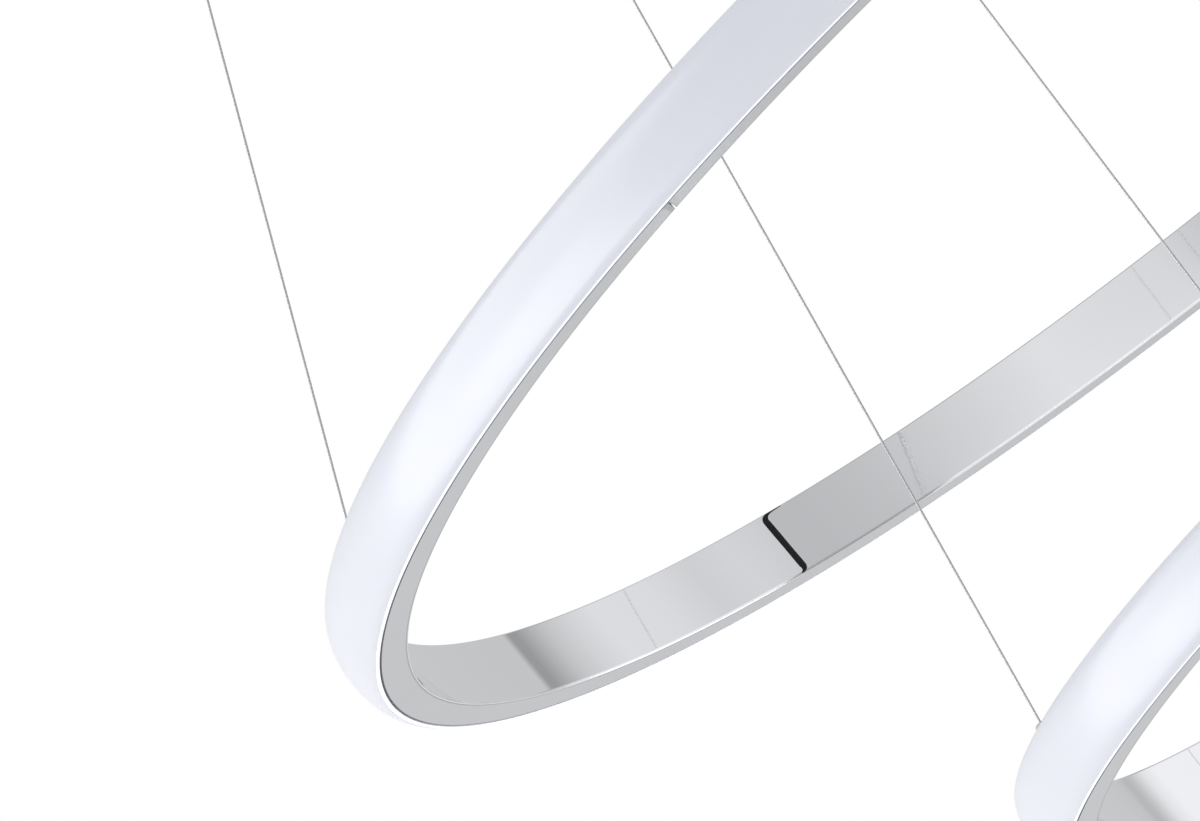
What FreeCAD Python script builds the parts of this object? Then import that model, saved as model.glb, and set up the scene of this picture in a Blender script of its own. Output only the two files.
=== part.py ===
import FreeCAD, Part
import math
import os

os.makedirs("parts", exist_ok=True)

V = FreeCAD.Vector
UP = V(0, 0, 1)

# ---------------------------------------------------------------------------
# Driving dimensions, in millimetres and degrees.
# +Z is up, z = 0 is the ceiling, and the origin is the centre of the
# ceiling bar's top face. The rings hang below, the largest one highest.
# ---------------------------------------------------------------------------

# rings
large_ring_diameter = 900.0     # upper ring, across the edges of its opal band
ring_height = 30.5              # height of every ring's section
ring_depth = 14.0               # radial depth of every ring's section
ring_drop = 212.35              # from one ring down to the next
first_drop = 680.0              # from the cable mouths to the upper ring's underside
middle_ring_offset = 9.6        # the middle ring hangs this far to +X

# lit channel
channel_wall = 1.6              # wall of the bent metal channel
diffuser_thickness = 2.4        # opal band, at its edges
diffuser_crown = 6.5            # the band's middle stands out from its edges by this
crown_flats = 4                 # flats that follow the crown's arc
lug_depth = 2.4                 # snap lugs behind the opal band
lug_length = 14.0
lug_pairs = 3                   # lugs come in pairs, one inside each flange
lug_height = 2.2
tape_height = 10.0              # flexible light strip on the back wall
tape_thickness = 1.0
tape_gap = 20.0                 # left free at the channel's joint
tape_run = 47.0                 # straight run between the light strip's cut marks, about
joint_gap = 1.0                 # between the channel's two ends
joint_azimuth = -124.7
splice_length = 34.0            # plates that bridge the joint inside
splice_thickness = 1.5
splice_clearance = 0.3
insert_azimuth = 132.4          # soft strip let into the inner wall
insert_width = 3.1
insert_depth = 0.8

# hardware where the cables meet a ring
stud_flats = 5.0
stud_height = 3.2
cable_thickness = 1.0           # strand with twelve outer wires, so its outline has twelve sides

# canopy at the ceiling
canopy_radius = 160.0
canopy_depth = 34.0
canopy_wall = 1.2
canopy_chamfer = 0.9
ceiling_gap = 0.5               # under the ceiling, so that the bar bears and not the rim
anchor_share = (0.9106, 0.7606, 0.4419)     # cable circles, as shares of the canopy's radius
anchor_azimuth = (-159.4, -160.66, -160.87)  # first cable of each ring

# cable grippers under the canopy
gripper_flats = 10.0
gripper_height = 12.0
gripper_neck_flats = 5.2        # six-sided neck through the canopy's floor, so it can't turn
gripper_neck_length = 2.2       # above the canopy's floor
gripper_bore_depth = 7.5
clip_flats = 10.0               # clip pressed on the neck inside the canopy
clip_thickness = 1.2
tip_flats = 4.8                 # six-sided sleeve, so it can't turn
tip_bore_flats = 1.8
tip_showing = 5.0
tip_inside = 4.0
tip_travel = 2.0

# ceiling bar
bar_width = 30.0
bar_thickness = 2.0
bar_hole_spacing = 180.0
bar_hole_radius = 2.75
wire_hole_size = 18.0
lug_drop = 18.0                 # turned-down ends of the bar
side_screw_z = -12.0
side_screw_radius = 1.95
side_screw_length = 9.0
side_head_flats = 10.0          # twelve-sided grip
side_head_height = 4.0
side_slot_width = 1.2
side_slot_depth = 1.2

# power supplies and terminals
driver_length = 110.0
driver_width = 38.0
driver_height = 22.0
driver_edge = 2.0
driver_share = 0.506            # middle of a driver, as a share of the canopy's radius
driver_azimuth = (20.0, 140.0, -100.0)
terminal_length = 40.0
terminal_width = 18.0
terminal_height = 14.0
terminal_ways = 3
terminal_port = 4.0

# clearances
seat = 0.05                     # between faces that bear on each other
slip = 0.08                     # radial, round parts that slide
hole_slack = 0.1                # each side, a screw or neck in its hole
insert_slack = 0.06

# ---------------------------------------------------------------------------
# Sizes that follow
# ---------------------------------------------------------------------------
levels = ("upper", "middle", "lower")
ring_radius = [large_ring_diameter / 2 * (3 - level) / 3 for level in range(3)]
ring_centre_x = [0.0, middle_ring_offset, 0.0]
canopy_floor_z = -canopy_depth
gripper_bottom_z = canopy_floor_z - seat - gripper_height
mouth_z = gripper_bottom_z - tip_showing
ring_bottom_z = [mouth_z - first_drop - level * ring_drop for level in range(3)]
stud_inset = ring_depth / 2


# ---------------------------------------------------------------------------
# Helpers
# ---------------------------------------------------------------------------
def outline(points):
    """Closed flat face in the XZ plane from (radius, height) corners."""
    corners = [V(r, 0, z) for r, z in points]
    return Part.Face(Part.makePolygon(corners + corners[:1]))


def turned(face, sweep=360.0, start=0.0):
    """Solid of revolution about Z, from start, through sweep degrees."""
    solid = face.revolve(V(0, 0, 0), UP, sweep)
    solid.rotate(V(0, 0, 0), UP, start)
    return solid


def cylinder(radius, bottom, top, x=0.0, y=0.0):
    """Upright cylinder between two heights."""
    return Part.makeCylinder(radius, top - bottom, V(x, y, bottom), UP)


def polygon(sides, flats, x, y, z, azimuth=0.0):
    """Level face with this many sides, one of them facing its azimuth."""
    reach = flats / 2 / math.cos(math.pi / sides)
    corners = []
    for step in range(sides):
        angle = math.radians(azimuth + 360.0 / sides * (step + 0.5))
        corners.append(V(x + reach * math.cos(angle), y + reach * math.sin(angle), z))
    return Part.Face(Part.makePolygon(corners + corners[:1]))


def prism(sides, flats, bottom, top, x=0.0, y=0.0, azimuth=0.0):
    """Upright prism between two heights."""
    return polygon(sides, flats, x, y, bottom, azimuth).extrude(V(0, 0, top - bottom))


def block(x0, x1, y0, y1, z0, z1):
    """Box between two corners."""
    return Part.makeBox(x1 - x0, y1 - y0, z1 - z0, V(x0, y0, z0))


def on_circle(radius, azimuth, centre_x=0.0):
    """Point (x, y) on a level circle about (centre_x, 0)."""
    angle = math.radians(azimuth)
    return centre_x + radius * math.cos(angle), radius * math.sin(angle)


def degrees_of(length, radius):
    """Angle that an arc of this length takes at this radius."""
    return math.degrees(length / radius)


def export(shape, node):
    """Write one node, after a look at its solids."""
    for solid in shape.Solids:
        if not solid.isValid() or solid.Volume <= 0:
            raise ValueError("node " + node + " has a bad solid")
    shape.exportStep("parts/" + node + ".step")


def cable_azimuths(level):
    """The three cables of a ring stand a third of a turn apart."""
    return [anchor_azimuth[level] + 120.0 * k for k in range(3)]


def anchors(level):
    """Where a ring's cables leave the canopy."""
    radius = canopy_radius * anchor_share[level]
    return [on_circle(radius, a, ring_centre_x[level]) for a in cable_azimuths(level)]


def stud_places(level):
    """Where a ring's cables meet its upper flange."""
    radius = ring_radius[level] - stud_inset
    return [on_circle(radius, a, ring_centre_x[level]) for a in cable_azimuths(level)]


# ---------------------------------------------------------------------------
# Ring: a U channel that opens outwards, closed by a crowned opal band
# ---------------------------------------------------------------------------
def channel(radius):
    """Bent metal channel: a butt joint between its ends, a groove for the soft strip."""
    inner = radius - ring_depth
    flange_end = radius - diffuser_thickness - seat
    floor = inner + channel_wall
    section = outline([
        (inner, 0),
        (flange_end, 0),
        (flange_end, channel_wall),
        (floor, channel_wall),
        (floor, ring_height - channel_wall),
        (flange_end, ring_height - channel_wall),
        (flange_end, ring_height),
        (inner, ring_height),
    ])
    gap = degrees_of(joint_gap, radius - stud_inset)
    ring = turned(section, 360.0 - gap, joint_azimuth + gap / 2)
    return ring.cut(insert_groove(radius))


def insert_groove(radius):
    """Room for the soft strip in the inner wall."""
    inner = radius - ring_depth
    half = insert_width / 2
    groove = block(inner - 2, inner + insert_depth, -half, half, -1, ring_height + 1)
    groove.rotate(V(0, 0, 0), UP, insert_azimuth)
    return groove


def joint_insert(radius):
    """Soft black strip that lies in the groove, level with the inner wall."""
    inner = radius - ring_depth
    half = insert_width / 2 - insert_slack
    face = math.sqrt(inner ** 2 - half ** 2)
    strip = block(face, inner + insert_depth - insert_slack, -half, half, insert_slack,
                  ring_height - insert_slack)
    ends = [e for e in strip.Edges if e.Vertexes[0].X > face + 0.1 and e.Vertexes[1].X > face + 0.1
            and abs(e.Vertexes[0].Z - e.Vertexes[1].Z) < 0.1]
    strip = strip.makeChamfer(insert_depth / 3, ends)
    strip.rotate(V(0, 0, 0), UP, insert_azimuth)
    return strip


def diffuser(radius):
    """Opal band of D section over the channel's mouth, with snap lugs behind."""
    back = radius - diffuser_thickness
    half = ring_height / 2
    arc_radius = (half ** 2 + diffuser_crown ** 2) / (2 * diffuser_crown)
    arc_half = math.asin(half / arc_radius)
    arc_middle = radius + diffuser_crown - arc_radius
    crown = []
    for step in range(crown_flats + 1):
        turn = arc_half * (2 * step / crown_flats - 1)
        crown.append((arc_middle + arc_radius * math.cos(turn), half + arc_radius * math.sin(turn)))
    band = turned(outline([(back, 0)] + crown + [(back, ring_height)]))
    sweep = degrees_of(lug_length, radius)
    low = channel_wall + insert_slack
    high = ring_height - channel_wall - insert_slack
    lugs = []
    for pair in range(lug_pairs):
        start = joint_azimuth + (pair + 0.5) * 360.0 / lug_pairs - sweep / 2
        for bottom in (low, high - lug_height):
            section = outline([
                (back - lug_depth, bottom),
                (back + 0.3, bottom),
                (back + 0.3, bottom + lug_height),
                (back - lug_depth, bottom + lug_height),
            ])
            lugs.append(turned(section, sweep, start))
    return band.fuse(lugs).removeSplitter()


def led_tape(radius):
    """Light strip on the channel's back wall, straight between its cut marks."""
    back = radius - ring_depth + channel_wall + seat
    low = (ring_height - tape_height) / 2
    high = low + tape_height
    runs = max(3, round(2 * math.pi * back / tape_run))
    strip = prism(runs, 2 * (back + tape_thickness), low, high, azimuth=joint_azimuth)
    strip = strip.cut(prism(runs, 2 * back, low, high, azimuth=joint_azimuth))
    opening = block(0, radius, -tape_gap / 2, tape_gap / 2, low - 1, high + 1)
    opening.rotate(V(0, 0, 0), UP, joint_azimuth)
    return strip.cut(opening)


def splice_plates(radius):
    """Two short straight plates that join the channel's ends, one inside each flange."""
    half = splice_length / 2
    inner = radius - ring_depth + channel_wall + splice_clearance
    outer = radius - diffuser_thickness - lug_depth - splice_clearance
    near = inner
    far = math.sqrt(outer ** 2 - half ** 2)
    plates = []
    for bottom in (channel_wall + seat, ring_height - channel_wall - seat - splice_thickness):
        plate = block(near, far, -half, half, bottom, bottom + splice_thickness)
        plate.rotate(V(0, 0, 0), UP, joint_azimuth)
        plates.append(plate)
    return Part.makeCompound(plates)


def cable_stud(x, y, flange_top, azimuth):
    """Hexagonal stud, welded upright on the upper flange."""
    return prism(6, stud_flats, flange_top + seat, flange_top + stud_height, x, y, azimuth)


def cable(start, end, top, azimuth):
    """Thin wire: upright through its release tip, then straight to its stud."""
    outline_at_mouth = polygon(12, cable_thickness, start[0], start[1], mouth_z, azimuth)
    slant = V(end[0] - start[0], end[1] - start[1], end[2] - mouth_z)
    return outline_at_mouth.extrude(V(0, 0, top - mouth_z)).fuse(outline_at_mouth.extrude(slant))


def release_tip(x, y, azimuth):
    """Sprung sleeve below a gripper: pushed up, it lets the cable run."""
    bottom = mouth_z
    top = gripper_bottom_z + tip_inside
    sleeve = prism(6, tip_flats, bottom, top, x, y, azimuth)
    return sleeve.cut(prism(6, tip_bore_flats, bottom - 1, top + 1, x, y, azimuth))


def gripper(x, y, azimuth):
    """Hexagonal cable gripper, its neck through the canopy's floor."""
    top = canopy_floor_z - seat
    body = prism(6, gripper_flats, gripper_bottom_z, top, x, y, azimuth)
    neck = prism(6, gripper_neck_flats, top - 1,
                 canopy_floor_z + canopy_wall + gripper_neck_length, x, y, azimuth)
    bore = prism(6, tip_flats + 2 * slip, gripper_bottom_z - 1,
                 gripper_bottom_z + gripper_bore_depth, x, y, azimuth)
    return body.fuse(neck).cut(bore).removeSplitter()


def gripper_clip(x, y, azimuth):
    """Clip pressed on a gripper's neck, inside the canopy."""
    bottom = canopy_floor_z + canopy_wall + seat
    plate = prism(6, clip_flats, bottom, bottom + clip_thickness, x, y, azimuth)
    return plate.cut(prism(6, gripper_neck_flats + seat, bottom - 1, bottom + clip_thickness + 1,
                           x, y, azimuth))


# ---------------------------------------------------------------------------
# Canopy: shell, bar, screws, supplies and terminals
# ---------------------------------------------------------------------------
def canopy_shell():
    """Shallow open-topped drum with a broken lower edge and all its holes."""
    wall = canopy_wall
    foot = canopy_floor_z
    drum = turned(outline([
        (0, foot),
        (canopy_radius - canopy_chamfer, foot),
        (canopy_radius, foot + canopy_chamfer),
        (canopy_radius, -ceiling_gap),
        (canopy_radius - wall, -ceiling_gap),
        (canopy_radius - wall, foot + wall),
        (0, foot + wall),
    ]))
    holes = []
    for level in range(3):
        for (x, y), azimuth in zip(anchors(level), cable_azimuths(level)):
            holes.append(prism(6, gripper_neck_flats + 2 * hole_slack, foot - 1, foot + wall + 1,
                               x, y, azimuth))
    reach = canopy_radius + 5
    holes.append(Part.makeCylinder(side_screw_radius + hole_slack, 2 * reach,
                                   V(-reach, 0, side_screw_z), V(1, 0, 0)))
    return drum.cut(holes)


def bar_reach():
    """How far the bar's turned-down ends stand from the middle."""
    inside = canopy_radius - canopy_wall - 0.25
    return math.sqrt(inside ** 2 - (bar_width / 2) ** 2)


def mounting_bar():
    """Ceiling bar with turned-down ends, two ceiling holes and a wire hole."""
    reach = bar_reach()
    half = bar_width / 2
    bar = block(-reach, reach, -half, half, -bar_thickness, 0)
    for side in (-1, 1):
        near, far = sorted((side * (reach - bar_thickness), side * reach))
        bar = bar.fuse(block(near, far, -half, half, -lug_drop, 0))
    bar = bar.removeSplitter()
    for side in (-1, 1):
        bar = bar.cut(cylinder(bar_hole_radius, -bar_thickness - 1, 1,
                               side * bar_hole_spacing / 2, 0))
    hole = wire_hole_size / 2
    bar = bar.cut(block(-hole, hole, -hole, hole, -bar_thickness - 1, 1))
    tapped = Part.makeCylinder(side_screw_radius + slip, 2 * reach + 10,
                               V(-reach - 5, 0, side_screw_z), V(1, 0, 0))
    return bar.cut(tapped)


def side_screw(side):
    """Slotted thumb screw through the canopy's wall into the bar's end."""
    seat_x = canopy_radius + seat
    head = prism(12, side_head_flats, 0, side_head_height)
    head.rotate(V(0, 0, 0), V(0, 1, 0), 90)
    head.translate(V(seat_x, 0, side_screw_z))
    shank = Part.makeCylinder(side_screw_radius, side_screw_length + 1,
                              V(seat_x - side_screw_length, 0, side_screw_z), V(1, 0, 0))
    slot = block(seat_x + side_head_height - side_slot_depth, seat_x + side_head_height + 1,
                 -side_head_flats, side_head_flats,
                 side_screw_z - side_slot_width / 2, side_screw_z + side_slot_width / 2)
    screw = head.fuse(shank).removeSplitter().cut(slot)
    if side < 0:
        screw.rotate(V(0, 0, 0), UP, 180)
    return screw


def driver(azimuth):
    """Power supply for one ring, lying on the canopy's floor."""
    bottom = canopy_floor_z + canopy_wall + seat
    middle = canopy_radius * driver_share
    box = block(middle - driver_width / 2, middle + driver_width / 2,
                -driver_length / 2, driver_length / 2, bottom, bottom + driver_height)
    edges = [e for e in box.Edges
             if min(v.Z for v in e.Vertexes) > bottom + driver_height - 0.1
             or abs(e.Vertexes[0].Z - e.Vertexes[1].Z) > 1]
    box = box.makeChamfer(driver_edge, edges)
    box.rotate(V(0, 0, 0), UP, azimuth)
    return box


def terminal_block():
    """Terminals for the mains wires, with a port through for each way."""
    bottom = canopy_floor_z + canopy_wall + seat
    half = terminal_length / 2
    body = block(-half, half, -terminal_width / 2, terminal_width / 2,
                 bottom, bottom + terminal_height)
    pitch = terminal_length / terminal_ways
    port = terminal_port / 2
    middle = bottom + terminal_height * 0.4
    for way in range(terminal_ways):
        x = -half + (way + 0.5) * pitch
        body = body.cut(block(x - port, x + port, -terminal_width, terminal_width,
                              middle - port, middle + port))
    return body


# ---------------------------------------------------------------------------
# Build and write every node
# ---------------------------------------------------------------------------
export(mounting_bar(), "mounting_bar")
export(canopy_shell(), "canopy_shell")
export(Part.makeCompound([side_screw(1), side_screw(-1)]), "canopy_side_screws")
export(terminal_block(), "terminal_block")

clips = []
for level, name in enumerate(levels):
    ring = name + "_ring_"
    azimuths = cable_azimuths(level)
    tops = anchors(level)
    radius = ring_radius[level]
    base = V(ring_centre_x[level], 0, ring_bottom_z[level])
    flange_top = ring_bottom_z[level] + ring_height

    # what stays at the ceiling
    export(driver(driver_azimuth[level]), ring + "driver")
    bodies = [gripper(x, y, a) for (x, y), a in zip(tops, azimuths)]
    export(Part.makeCompound(bodies), ring + "grippers")
    clips += [gripper_clip(x, y, a) for (x, y), a in zip(tops, azimuths)]

    # the ring itself
    for build, part in ((channel, "channel"), (joint_insert, "joint_insert"),
                        (diffuser, "diffuser"), (led_tape, "led_tape"),
                        (splice_plates, "splice_plates")):
        piece = build(radius)
        piece.translate(base)
        export(piece, ring + part)
    studs = [cable_stud(x, y, flange_top, a) for (x, y), a in zip(stud_places(level), azimuths)]
    export(Part.makeCompound(studs), ring + "cable_studs")

    # its cables and release tips, one of each at every anchor
    stud_top = flange_top + stud_height
    cable_top = gripper_bottom_z + tip_inside + tip_travel
    for count, (start, end, azimuth) in enumerate(zip(tops, stud_places(level), azimuths), 1):
        wire = cable(start, (end[0], end[1], stud_top + seat), cable_top, azimuth)
        export(wire, ring + "cable_" + str(count))
        export(release_tip(*start, azimuth), ring + "release_tip_" + str(count))

export(Part.makeCompound(clips), "gripper_clips")
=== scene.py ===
# %% [markdown]
# # Three rings of light on fine cables
# The lamp is a set of three level rings, one below the other, each hung on three steel strands from one
# round canopy. A ring is a bent metal channel, mirror-bright inside and satin on its flanges, closed on
# the outside by an opal band. The solids come ready-made as the frame. This lesson dresses them: it
# builds the smooth surfaces a camera would see close up, and gives each piece its own finish.

import bmesh
import bpy
import numpy as np
from mathutils import Matrix, Vector


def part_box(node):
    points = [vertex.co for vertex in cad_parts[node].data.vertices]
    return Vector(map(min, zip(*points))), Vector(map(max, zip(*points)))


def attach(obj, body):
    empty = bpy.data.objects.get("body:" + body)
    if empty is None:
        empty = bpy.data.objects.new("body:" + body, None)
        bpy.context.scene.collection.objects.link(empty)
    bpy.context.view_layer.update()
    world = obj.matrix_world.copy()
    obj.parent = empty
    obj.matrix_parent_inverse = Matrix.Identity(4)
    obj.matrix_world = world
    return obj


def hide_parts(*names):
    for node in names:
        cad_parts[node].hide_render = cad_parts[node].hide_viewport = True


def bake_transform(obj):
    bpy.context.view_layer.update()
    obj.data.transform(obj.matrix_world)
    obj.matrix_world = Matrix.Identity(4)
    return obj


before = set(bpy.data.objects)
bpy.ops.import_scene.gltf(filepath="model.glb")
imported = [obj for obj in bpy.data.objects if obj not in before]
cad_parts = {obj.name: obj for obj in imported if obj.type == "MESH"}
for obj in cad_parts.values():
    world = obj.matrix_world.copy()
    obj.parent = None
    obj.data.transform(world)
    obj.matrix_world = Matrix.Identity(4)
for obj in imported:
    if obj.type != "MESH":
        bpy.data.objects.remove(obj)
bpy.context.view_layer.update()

print("solids in the frame:", len(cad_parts))

# %% [markdown]
# ## Sizes read off the frame
# The rings' radii, heights and places are not typed in again. Each is read off the box of its own solid,
# so the dressing still fits after a ring of the part has changed. Only the section's small sizes and the
# joint's place, which no box shows, are written here once more.

# %% Ring sizes
LEVELS = ("upper", "middle", "lower")
MM = 0.001

RING_DEPTH = 14 * MM            # from the inner wall to the opal band's edges
CHANNEL_WALL = 1.6 * MM
BAND_THICKNESS = 2.4 * MM       # opal band, at its edges
CROWN = 6.5 * MM                # the band's middle stands out from its edges by this
JOINT_AZIMUTH = -124.7          # the channel's butt joint, in degrees
JOINT_GAP = 0.8 * MM
INSERT_AZIMUTH = 132.4          # the black soft strip, in degrees


def ring_sizes(level):
    """Radius at the opal band's edges, centre along X, underside and height of a ring.

    The box of the band's solid is a hair small, since flats stand for its circle, so the radius is
    rounded to the millimetre after the crown is taken off.
    """
    low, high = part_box(level + "_ring_diffuser")
    return {
        "radius": round((high.y - low.y) / 2 - CROWN, 3),
        "centre": (low.x + high.x) / 2,
        "bottom": low.z,
        "height": high.z - low.z,
    }


RINGS = {level: ring_sizes(level) for level in LEVELS}
for level in LEVELS:
    print(level, {name: round(value, 4) for name, value in RINGS[level].items()})

# %% [markdown]
# ## Shader sums as Python sums
# A finish is a small network of nodes. Wiring it by hand hides the idea, so one class wraps a node's
# output and lets plus, minus, times and divided-by build the Math nodes. Then `1 - worn` reads as it
# would on paper.


# %% Shader sums
class Signal:
    """One output of a shader node, on which the usual operators work."""

    def __init__(self, finish, output):
        self.finish = finish
        self.output = output

    def sum(self, operation, first, second):
        """A Math node on two values, each a signal or a number."""
        return self.finish.node("Math", {"operation": operation}, {0: first, 1: second})

    def __add__(self, other):
        return self.sum("ADD", self, other)

    def __sub__(self, other):
        return self.sum("SUBTRACT", self, other)

    def __rsub__(self, other):
        return self.sum("SUBTRACT", other, self)

    def __mul__(self, other):
        return self.sum("MULTIPLY", self, other)

    def __truediv__(self, other):
        return self.sum("DIVIDE", self, other)

    def __rtruediv__(self, other):
        return self.sum("DIVIDE", other, self)

    __radd__ = __add__
    __rmul__ = __mul__


print("signals can be added, subtracted, multiplied and divided")

# %% [markdown]
# ## One way to make any node
# A finish holds the network of one material. Every node in it comes from one method, which takes the
# node's type, then its settings, then the values or links of its sockets. What is the same all over a
# surface goes straight on the shader's own sockets, and only what varies is fed in as a signal.


# %% Finish
def grey(tone):
    """A neutral colour of this tone."""
    return (tone, tone, tone, 1.0)


class Finish:
    """A material being made: constants go on its shader's own sockets, signals are fed in."""

    end = "Material Output"

    def __init__(self, name, **constants):
        self.material = bpy.data.materials.new(name)
        self.material.use_nodes = True
        self.tree = self.material.node_tree
        self.shader = self.tree.nodes["Principled BSDF"]
        for socket, value in constants.items():
            self.shader.inputs[socket.replace("_", " ")].default_value = value

    def node(self, kind, settings, values, out=0):
        """A node of this kind: its settings first, then the values or links of its sockets."""
        made = self.tree.nodes.new("ShaderNode" + kind)
        for setting, value in settings.items():
            if setting == "stops":
                ramp = made.color_ramp.elements
                while len(ramp) < len(value):
                    ramp.new(1.0)
                for element, (position, colour) in zip(ramp, value):
                    element.position = position
                    element.color = colour
            else:
                setattr(made, setting, value)
        for socket, value in values.items():
            if isinstance(value, Signal):
                self.tree.links.new(value.output, made.inputs[socket])
            else:
                made.inputs[socket].default_value = value
        return Signal(self, made.outputs[out])

    def feed(self, socket, signal):
        """Let a signal drive one socket of the shader."""
        self.tree.links.new(signal.output, self.shader.inputs[socket])

    def show(self, signal):
        """Make this signal what the surface, or the world, shows."""
        self.tree.links.new(signal.output, self.tree.nodes[self.end].inputs["Surface"])

    def place(self):
        """Where a point lies on the piece, in metres."""
        return self.node("TexCoord", {}, {}, out="Object")

    def surface(self):
        """The piece's own two surface coordinates."""
        return self.node("TexCoord", {}, {}, out="UV")

    def split(self, vector):
        """The three parts of a vector."""
        first = self.node("SeparateXYZ", {}, {0: vector})
        return [Signal(self, first.output.node.outputs[axis]) for axis in range(3)]

    def rays(self):
        """Signals that are 1 for rays from the camera, off gloss and through glass, and else 0."""
        path = self.node("LightPath", {}, {})
        return [Signal(self, path.output.node.outputs["Is " + ray + " Ray"])
                for ray in ("Camera", "Glossy", "Transmission")]

    def either(self, first, second):
        """The larger of two signals, so 1 where either is 1."""
        return self.node("Math", {"operation": "MAXIMUM"}, {0: first, 1: second})

    def noise(self, where, scale, detail=3.0):
        """Smooth random values from 0 to 1, with this many swings to a unit."""
        return self.node("TexNoise", {}, {"Vector": where, "Scale": scale, "Detail": detail})

    def between(self, amount, first, second):
        """A colour that goes from first to second as amount goes from 0 to 1."""
        return self.node("Mix", {"data_type": "RGBA"},
                         {0: amount, 6: first + (1.0,), 7: second + (1.0,)}, out=2)

    def relief(self, height, depth):
        """Small bumps of this depth, in metres, fed to the shader's normal."""
        bump = self.node("Bump", {}, {"Height": height, "Distance": depth, "Strength": 1.0},
                         out="Normal")
        self.feed("Normal", bump)


print("shader helpers ready")

# %% [markdown]
# ## Mirror-bright and satin steel
# The channel is one strip of stainless steel. Its wide face, which becomes the ring's inner wall, is
# polished until it mirrors the cables. Its narrow flanges keep a fine satin grain that runs round the
# ring. Two finishes on one piece do that: the mirror is nearly free of roughness, with the faint haze
# that polishing leaves, and the satin gets its grain from noise stretched along the ring.


# %% Steel finishes
GRAIN_DEPTH = 0.01 * MM


def polished_steel():
    """Mirror finish with a very faint polishing haze."""
    steel = Finish("polished_steel", Metallic=1.0)
    haze = steel.noise(steel.place(), 9.0)
    steel.feed("Base Color", steel.between(haze, (0.835, 0.845, 0.87), (0.855, 0.865, 0.89)))
    steel.feed("Roughness", haze * 0.02 + 0.015)
    return steel.material


def satin_steel():
    """Flange finish: noise drawn out along the ring and fine across the flange makes the grain."""
    steel = Finish("satin_steel", Metallic=1.0)
    along_ring, over_flange, _ = steel.split(steel.surface())
    grain_at = steel.node("CombineXYZ", {}, {0: along_ring * 4.0, 1: over_flange * 9000.0, 2: 0.0})
    grain = steel.noise(grain_at, 1.0)
    cloud = steel.noise(steel.place(), 14.0)
    steel.feed("Base Color", steel.between(grain, (0.53, 0.54, 0.558), (0.585, 0.595, 0.613)))
    steel.feed("Roughness", grain * 0.08 + cloud * 0.08 + 0.26)
    steel.relief(grain, GRAIN_DEPTH)
    return steel.material


FINISHES = {"polished": polished_steel(), "satin": satin_steel()}
print("steel finishes:", sorted(FINISHES))

# %% [markdown]
# ## Opal acrylic
# The outer band is extruded acrylic with a milk-white body, smooth outside. Light scatters inside it, so
# it never shows a hard shadow. A pale base, a little scattering below the surface and a clear gloss give
# that look, and a faint painted glow, as though the light strip behind it were lit, brightens the whole
# band. The two lips are the same finish with a stronger glow: a painted highlight along the band's
# edges.


# %% Opal finish
# painted light: a faint glow over the whole band, and a stronger one on its lips as a painted highlight
PAINTED_BODY_GLOW, PAINTED_LIP_HIGHLIGHT = 0.05, 0.42


def opal_acrylic(name, glow):
    """Milky band, a touch cool, with a smooth clear surface and a painted glow of this strength."""
    opal = Finish(name, Roughness=0.28, IOR=1.49, Coat_Weight=0.15, Coat_Roughness=0.1,
                  Subsurface_Weight=0.12, Subsurface_Radius=(0.004, 0.004, 0.005),
                  Subsurface_Scale=1.0, Emission_Color=(0.93, 0.94, 1.0, 1.0), Emission_Strength=glow)
    cloud = opal.noise(opal.place(), 5.0)
    opal.feed("Base Color", opal.between(cloud, (0.80, 0.82, 0.90), (0.83, 0.845, 0.915)))
    return opal.material


FINISHES["opal"] = opal_acrylic("opal_acrylic", PAINTED_BODY_GLOW)
# the lip finish glows much brighter: a painted highlight along the band's edges
FINISHES["lip"] = opal_acrylic("opal_lip_painted_highlight", PAINTED_LIP_HIGHLIGHT)
print("glow of the band and of its lips:", PAINTED_BODY_GLOW, PAINTED_LIP_HIGHLIGHT)

# %% [markdown]
# ## The smaller finishes
# Cable strands, nickel-plated hardware, zinc-plated plate, white enamel, moulded plastics and the black
# soft strip each get a material of their own. Nearly all share one recipe: a base colour that wanders a
# little, and a roughness that wanders with it, because no real surface is the same all over. The strand
# adds painted shade in the grooves between its wires, lighter on their crests. The same recipe also
# makes the channel's painted shade: near-black flange ends and a darker line beside the inner round.


# %% Small finishes
def plain_finish(name, dark, light, scale, rough, spread, bump=0.0, **constants):
    """A colour and roughness that wander between two values, with optional relief."""
    made = Finish(name, **constants)
    cloud = made.noise(made.place(), scale, detail=4.0)
    made.feed("Base Color", made.between(cloud, dark, light))
    made.feed("Roughness", cloud * spread + rough)
    if bump:
        made.relief(cloud, bump)
    return made.material


OUTER_WIRES = 6


def cable_strand():
    """Six outer wires: painted shade in the grooves between them, and a lighter tone on their crests,
    winds round the strand.
    """
    wire = Finish("cable_strand", Metallic=1.0)
    around, along, _ = wire.split(wire.surface())
    # painted shade: darker in the grooves between wires, lighter on their crests
    crest_light_groove_shade = wire.node("Math", {"operation": "COSINE"}, {0: around * (2 * np.pi * OUTER_WIRES)})
    streak = wire.node("CombineXYZ", {}, {0: around * 30.0, 1: along * 40.0, 2: 0.0})
    shade = crest_light_groove_shade * 0.22 + wire.noise(streak, 1.0) * 0.2 + 0.5
    wire.feed("Base Color", wire.between(shade, (0.40, 0.40, 0.41), (0.62, 0.62, 0.64)))
    wire.feed("Roughness", 0.55 - shade * 0.1)
    return wire.material


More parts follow.
